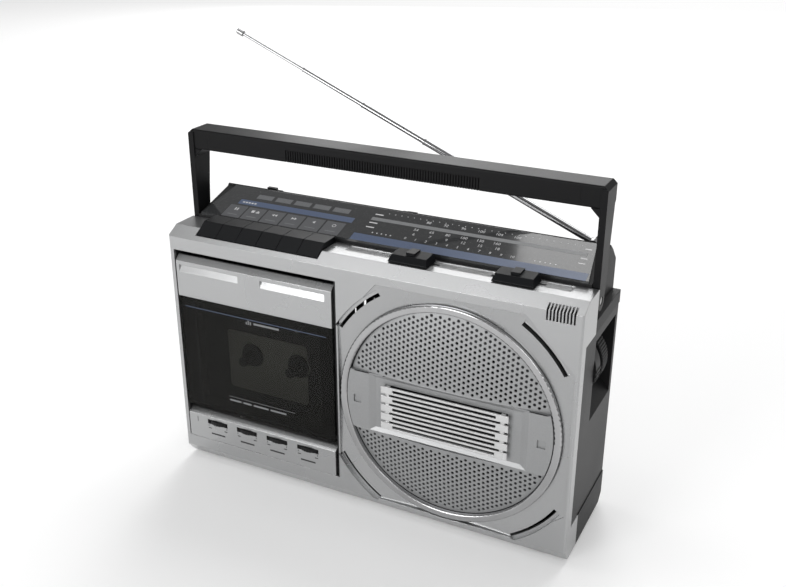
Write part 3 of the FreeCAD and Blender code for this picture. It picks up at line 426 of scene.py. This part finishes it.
def addDome(sheet, chord, side, arcSteps=72, chordSteps=40, stepSteps=48):
    start = math.asin(chord / grille["radius"])
    half = grille["radius"] * math.cos(start)
    outline = arcPoints(0, 0, grille["radius"], start, side * math.pi - start, arcSteps)
    outline += [(-half + 2 * half * i / chordSteps, chord) for i in range(1, chordSteps)]
    if side < 0:
        outline.reverse()
    sheet.fill(outline, holesIn(chord, side), domeDepth)
    # the step down from the dome to the band
    line = [-half + 2 * half * i / stepSteps for i in range(stepSteps + 1)]
    sheet.ribbon([(u, chord, domeDepth(u, chord)) for u in line], [(u, chord, bandDepth(u, chord)) for u in line])


def addEndPlate(sheet, side, arcSteps=16):
    # one end of the band, with a square dimple
    low, high, edge, radius = grille["bandLow"], grille["bandHigh"], side * grille["sunkHalf"], grille["radius"]
    arc = arcPoints(0, 0, radius, math.asin(low / radius), math.asin(high / radius), arcSteps)
    outline = [(edge, low)] + [(side * u, v) for u, v in arc] + [(edge, high)]
    u, v, half = side * grille["dimple"], (low + high) / 2, grille["dimpleHalf"]
    square = [(u - half, v - half), (u + half, v - half), (u + half, v + half), (u - half, v + half)]
    sheet.fill(outline if side > 0 else outline[::-1], [square], bandDepth)
    top, floor = grille["bandDepth"], grille["bandDepth"] + grille["dimpleDeep"]
    loop = square + square[:1]
    sheet.ribbon([(p, q, top) for p, q in loop], [(p, q, floor) for p, q in loop])
    sheet.ribbon([(p, q, floor) for p, q in square[:2]], [(p, q, floor) for p, q in square[:1:-1]])


def addSunkMiddle(sheet):
    # four ramps down to the flat that the fins stand on
    low, high, far = grille["bandLow"], grille["bandHigh"], grille["sunkHalf"]
    near, drop = far - grille["rampWide"], grille["rampHigh"]
    outer = [(-far, low), (far, low), (far, high), (-far, high)]
    inner = [(-near, low + drop), (near, low + drop), (near, high - drop), (-near, high - drop)]
    sheet.ribbon([(u, v, bandDepth(u, v)) for u, v in outer + outer[:1]],
                 [(u, v, sunkDepth(u, v)) for u, v in inner + inner[:1]])
    u0, u1, v0, v1 = grille["opening"]
    sheet.fill(inner, [[(u0, v0), (u1, v0), (u1, v1), (u0, v1)]], sunkDepth)


def makeGrille():
    sheet = Sheet()
    addDome(sheet, grille["bandHigh"], 1)
    addDome(sheet, grille["bandLow"], -1)
    for side in (-1, 1):
        addEndPlate(sheet, side)
    addSunkMiddle(sheet)
    piece = addPiece("grilleSheet", sheet.verts, sheet.faces, "case", "grilleSteel")
    work = bmesh.new()
    work.from_mesh(piece.data)
    bmesh.ops.remove_doubles(work, verts=work.verts, dist=0.02 * mm)
    bmesh.ops.recalc_face_normals(work, faces=work.faces)
    if sum(f.normal.y * f.calc_area() for f in work.faces) > 0:
        bmesh.ops.reverse_faces(work, faces=work.faces)
    work.to_mesh(piece.data)
    work.free()
    solid = piece.modifiers.new("thickness", "SOLIDIFY")
    solid.thickness = grille["thick"] * mm
    solid.offset = -1
    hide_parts("speaker_grille")


makeGrille()
print("grille made")


# dial print: mm from the case's left side and from its front
dial = {
    "edge": -13.0, "edgeHeight": 202.3, "slope": 11.6 / 38.8, "left": -160.0, "front": -45.0,
    "levels": (40.8, 57.6, 74.3, 91.1, 107.9), "levelWide": 14.0, "levelRows": (58.2, 63.5),
    "hatches": 11, "hatchPitch": 1.2, "hatchRows": (58.7, 63.0),
    "lifts": (0.09, 0.07, 0.06, 0.05),
    "keyBand": (29.9, 129.5, 49.0, 54.7), "bandBars": 5, "bandBarPitch": 2.6,
    "bandBar": (33.0, 34.8, 51.0, 52.4),
    "tiles": 6, "tileStart": 25.5, "tilePitch": 17.05, "tileWide": 15.6, "tileRows": (32.5, 47.0),
    "iconRow": 42.6, "captionEnds": (3.5, 12.0), "captionRows": (35.6, 36.4),
    "tuneBand": (137.0, 310.0, 31.9, 39.3), "rail": (141.5, 303.0, 56.2, 59.6),
    "railTicks": 40, "railPitch": 4.0, "railTick": (142.5, 142.9, 56.8, 59.0),
    "scales": [
        (63.2, 185.0, 252.0, ("88", "92", "96", "100", "104", "108")),
        (53.2, 179.5, 240.7, ("54", "65", "80", "100", "130", "160")),
        (48.0, 180.0, 243.0, ("6", "7", "9", "12", "15", "18")),
    ],
    "digits": 2.7, "scaleBars": ((142.0, 148.5), (300.0, 304.5)), "scaleBarHalf": 0.5,
    "dots": 30, "dotStart": 152.0, "dotPitch": 5.0, "dotRow": 66.0, "dotSize": 0.35,
    "countTo": 11, "countStart": 176.0, "countPitch": 8.0, "countRow": 42.6, "smallDigits": 2.4,
    "pearls": (150.0, 272.0), "pearlCount": 5, "pearlPitch": 3.6, "pearlSize": 0.55,
}


def onDial(u, v, lift):
    y = v + dial["front"]
    height = dial["edgeHeight"] + (y - dial["edge"]) * dial["slope"] + lift
    return ((u + dial["left"]) * mm, y * mm, height * mm)


def drawPause(ink, u, v):
    ink.bar(u - 1.5, u - 0.5, v - 1.5, v + 1.5)
    ink.bar(u + 0.5, u + 1.5, v - 1.5, v + 1.5)


def drawStopEject(ink, u, v):
    ink.bar(u - 3.4, u - 0.8, v - 1.3, v + 1.3)
    ink.shape([(u + 0.6, v - 0.4), (u + 3.8, v - 0.4), (u + 2.2, v + 1.4)])
    ink.bar(u + 0.6, u + 3.8, v - 1.4, v - 0.8)


def drawWind(ink, u, v, way):
    ink.arrow(u - way * 2.2, v, 1.4, way)
    ink.arrow(u + way * 0.2, v, 1.4, way)


def drawRewind(ink, u, v):
    drawWind(ink, u, v, -1)


def drawForward(ink, u, v):
    drawWind(ink, u, v, 1)


def drawPlay(ink, u, v):
    ink.arrow(u + 1.0, v, 1.5, -1)


def drawRecord(ink, u, v):
    ink.ring(u, v, 1.6, 0.5)


def repeatBar(ink, first, count, pitch):
    u0, u1, v0, v1 = first
    for i in range(count):
        ink.bar(u0 + i * pitch, u1 + i * pitch, v0, v1)


def printTiles(white, grey, tile):
    icons = [drawPause, drawStopEject, drawRewind, drawForward, drawPlay, drawRecord]
    for i in range(dial["tiles"]):
        start = dial["tileStart"] + i * dial["tilePitch"]
        tile.bar(start, start + dial["tileWide"], *dial["tileRows"])
        icons[i](white, start + dial["tileWide"] / 2, dial["iconRow"])
        grey.bar(start + dial["captionEnds"][0], start + dial["captionEnds"][1], *dial["captionRows"])


def printScales(white):
    for v, u0, u1, labels in dial["scales"]:
        for i, label in enumerate(labels):
            white.number(label, u0 + (u1 - u0) * i / (len(labels) - 1), v, dial["digits"])
        for start, end in dial["scaleBars"]:
            white.bar(start, end, v - dial["scaleBarHalf"], v + dial["scaleBarHalf"])
    for i in range(dial["dots"]):
        white.dot(dial["dotStart"] + i * dial["dotPitch"], dial["dotRow"], dial["dotSize"], 8)
    for i in range(dial["countTo"]):
        u = dial["countStart"] + i * dial["countPitch"]
        white.number(str(i), u, dial["countRow"], dial["smallDigits"])
    for side in dial["pearls"]:
        for i in range(dial["pearlCount"]):
            white.dot(side + i * dial["pearlPitch"], dial["countRow"], dial["pearlSize"], 10)


def printDial():
    white, grey, blue, tile = (Print(onDial, lift) for lift in dial["lifts"])
    for start in dial["levels"]:
        tile.bar(start, start + dial["levelWide"], *dial["levelRows"])
        repeatBar(grey, (start + 0.8, start + 1.3, *dial["hatchRows"]), dial["hatches"], dial["hatchPitch"])
    blue.bar(*dial["keyBand"])
    repeatBar(white, dial["bandBar"], dial["bandBars"], dial["bandBarPitch"])
    printTiles(white, grey, tile)
    blue.bar(*dial["tuneBand"])
    grey.bar(*dial["rail"])
    repeatBar(tile, dial["railTick"], dial["railTicks"], dial["railPitch"])
    printScales(white)
    white.make("dialMarks", "case", "inkWhite", "dial")
    grey.make("dialGreyMarks", "case", "inkGrey", "dial")
    blue.make("dialBlueBands", "case", "inkBlue", "dial")
    tile.make("dialTiles", "case", "inkTile", "dial")


printDial()
print("dial printed")


# marks on the thumbwheel strip and the door's window (mm)
frontMarks = {
    "stripFace": -45.0, "windowFace": -44.4,
    "wheels": 4, "wheelStart": -128.1, "wheelPitch": 27.8,
    "tick": (8.6, 0.25, 34.2, 35.6), "dash": (7.6, 1.4, 32.2, 32.9),
    "captionHalf": 6.5, "captionRows": (27.3, 28.6),
    "pin": (-147.4, -146.9, 36.0, 40.5),
    "emblemStart": -95.0, "emblemPitch": 1.8, "emblemWide": 1.0, "emblemFoot": 132.5,
    "emblemHeights": (2.2, 3.6, 2.8),
    "emblemBar": (-88.0, -66.0, 133.4, 135.0), "rule": (-115.0, -55.0, 66.6, 66.9),
    "words": ((-114.5, -104.0), (-102.0, -94.5), (-92.5, -79.0), (-77.0, -63.0)), "wordRows": (63.0, 64.4),
    "line": (-150.0, -26.0, 136.6, 137.05),
}


def onStrip(u, v, lift):
    return (u * mm, (frontMarks["stripFace"] - lift) * mm, v * mm)


def onWindow(u, v, lift):
    return (u * mm, (frontMarks["windowFace"] - lift) * mm, v * mm)


def printStrip():
    panel = Print(onStrip)
    for i in range(frontMarks["wheels"]):
        x = frontMarks["wheelStart"] + frontMarks["wheelPitch"] * i
        for side in (-1, 1):
            for away, half, low, high in (frontMarks["tick"], frontMarks["dash"]):
                panel.bar(x + side * away - half, x + side * away + half, low, high)
        panel.bar(x - frontMarks["captionHalf"], x + frontMarks["captionHalf"], *frontMarks["captionRows"])
    panel.bar(*frontMarks["pin"])
    panel.make("panelMarks", "case", "inkBlack", "silver")


def printWindow():
    # a plain mark of three bars near the top, and a caption of bars under a rule
    door = Print(onWindow, 0.06)
    foot = frontMarks["emblemFoot"]
    for i, height in enumerate(frontMarks["emblemHeights"]):
        start = frontMarks["emblemStart"] + i * frontMarks["emblemPitch"]
        door.bar(start, start + frontMarks["emblemWide"], foot, foot + height)
    door.bar(*frontMarks["emblemBar"])
    door.bar(*frontMarks["rule"])
    for start, end in frontMarks["words"]:
        door.bar(start, end, *frontMarks["wordRows"])
    door.make("windowMarks", "cassette_door", "inkGrey", "window")
    line = Print(onWindow, 0.06)
    line.bar(*frontMarks["line"])
    line.make("windowLine", "cassette_door", "inkBlue", "window")


printStrip()
printWindow()
print("front marks printed")


# what shows through the smoked window: the deck's front plate, with a clearance hole for each spindle (mm)
deckFront = {
    "across": (-133.0, -60.0), "up": (58.0, 109.0), "face": -16.6, "corner": 3.0, "thick": 0.4,
    "spindles": (-110.35, -67.85), "spindleHeight": 90.5, "hole": 10.0, "holeSides": 32,
}


def makeDeckFront():
    (u0, u1), (v0, v1), corner = deckFront["across"], deckFront["up"], deckFront["corner"]
    places = [(u1 - corner, v0 + corner), (u1 - corner, v1 - corner), (u0 + corner, v1 - corner),
              (u0 + corner, v0 + corner)]
    outline = []
    for quarter, (u, v) in enumerate(places):
        start = (quarter - 1) * math.pi / 2
        outline += arcPoints(u, v, corner, start, start + math.pi / 2, 6)
    holes = [circlePoints(u, deckFront["spindleHeight"], deckFront["hole"], deckFront["holeSides"])
             for u in deckFront["spindles"]]
    flat, tris = cutSheet(outline, holes)
    verts = [(p.x * mm, deckFront["face"] * mm, p.y * mm) for p in flat]
    piece = addPiece("deckFrontPlate", verts, [list(tri) for tri in tris], "case", "deckPlate")
    piece.modifiers.new("thickness", "SOLIDIFY").thickness = deckFront["thick"] * mm


makeDeckFront()
print("deck plate made")


# floor, lights and camera; a light is its place (m), width (m) and power (W)
studio = {
    "floor": (0.86, 0.86, 0.86), "floorHalf": 6, "floorGlow": 0.12, "world": 0.42, "aim": (0, 0, 0.12),
    "lights": {
        "keyLight": ((-0.8, -0.12, 2.35), 1.2, 8.0),
        "frontLight": ((-0.85, -2.2, 0.62), 1.0, 27.0),
        "sideLight": ((1.2, -1.8, 1.4), 1.0, 10.0),
        "backLight": ((-0.9, 2.3, 0.75), 1.2, 14.0),
        "farLight": ((0.0, 3.2, 4.0), 3.0, 120.0),
    },
    "lens": 46.09, "sensor": 36.0, "cameraAt": (0.3065, -0.5999, 0.4543),
    "look": (-0.41097, 0.81843, -0.40159), "up": (-0.18021, 0.35889, 0.91582),
}


def placeNew(name, data):
    holder = bpy.data.objects.new(name, data)
    bpy.context.scene.collection.objects.link(holder)
    return holder


def makeFloor():
    half = studio["floorHalf"]
    mesh = bpy.data.meshes.new("studioFloor")
    corners = [(-half, -half, 0), (half, -half, 0), (half, half, 0), (-half, half, 0)]
    mesh.from_pydata(corners, [], [(0, 1, 2, 3)])
    g = Graph("paleFloor")
    pale = g.blend(g.noise(3.0), shade(studio["floor"], 0.99), studio["floor"])
    mesh.materials.append(g.finish(Base_Color=pale, Roughness=0.9, Emission_Strength=studio["floorGlow"],
                                   Emission_Color=(1.0, 1.0, 1.0)))
    placeNew("studioFloor", mesh)


def makeLights():
    world = bpy.data.worlds.new("studioWorld")
    bpy.context.scene.world = world
    world.use_nodes = True
    sky = world.node_tree.nodes["Background"].inputs
    sky["Color"].default_value = (1.0, 1.0, 1.0, 1.0)
    sky["Strength"].default_value = studio["world"]
    for name, (spot, size, power) in studio["lights"].items():
        lamp = bpy.data.lights.new(name, "AREA")
        lamp.size = size
        lamp.energy = power
        holder = placeNew(name, lamp)
        holder.location = spot
        holder.rotation_euler = (Vector(studio["aim"]) - Vector(spot)).to_track_quat("-Z", "Y").to_euler()


def makeCamera():
    lens = bpy.data.cameras.new("studioCamera")
    lens.lens = studio["lens"]
    lens.sensor_width = studio["sensor"]
    lens.clip_start = 0.01
    camera = placeNew("studioCamera", lens)
    look, up = Vector(studio["look"]).normalized(), Vector(studio["up"]).normalized()
    side = look.cross(up).normalized()
    turn = Matrix((side, side.cross(look), -look)).transposed()
    camera.matrix_world = Matrix.Translation(studio["cameraAt"]) @ turn.to_4x4()
    bpy.context.scene.camera = camera
    bpy.context.scene.view_settings.view_transform = "Standard"


makeFloor()
makeLights()
makeCamera()
print("studio ready")
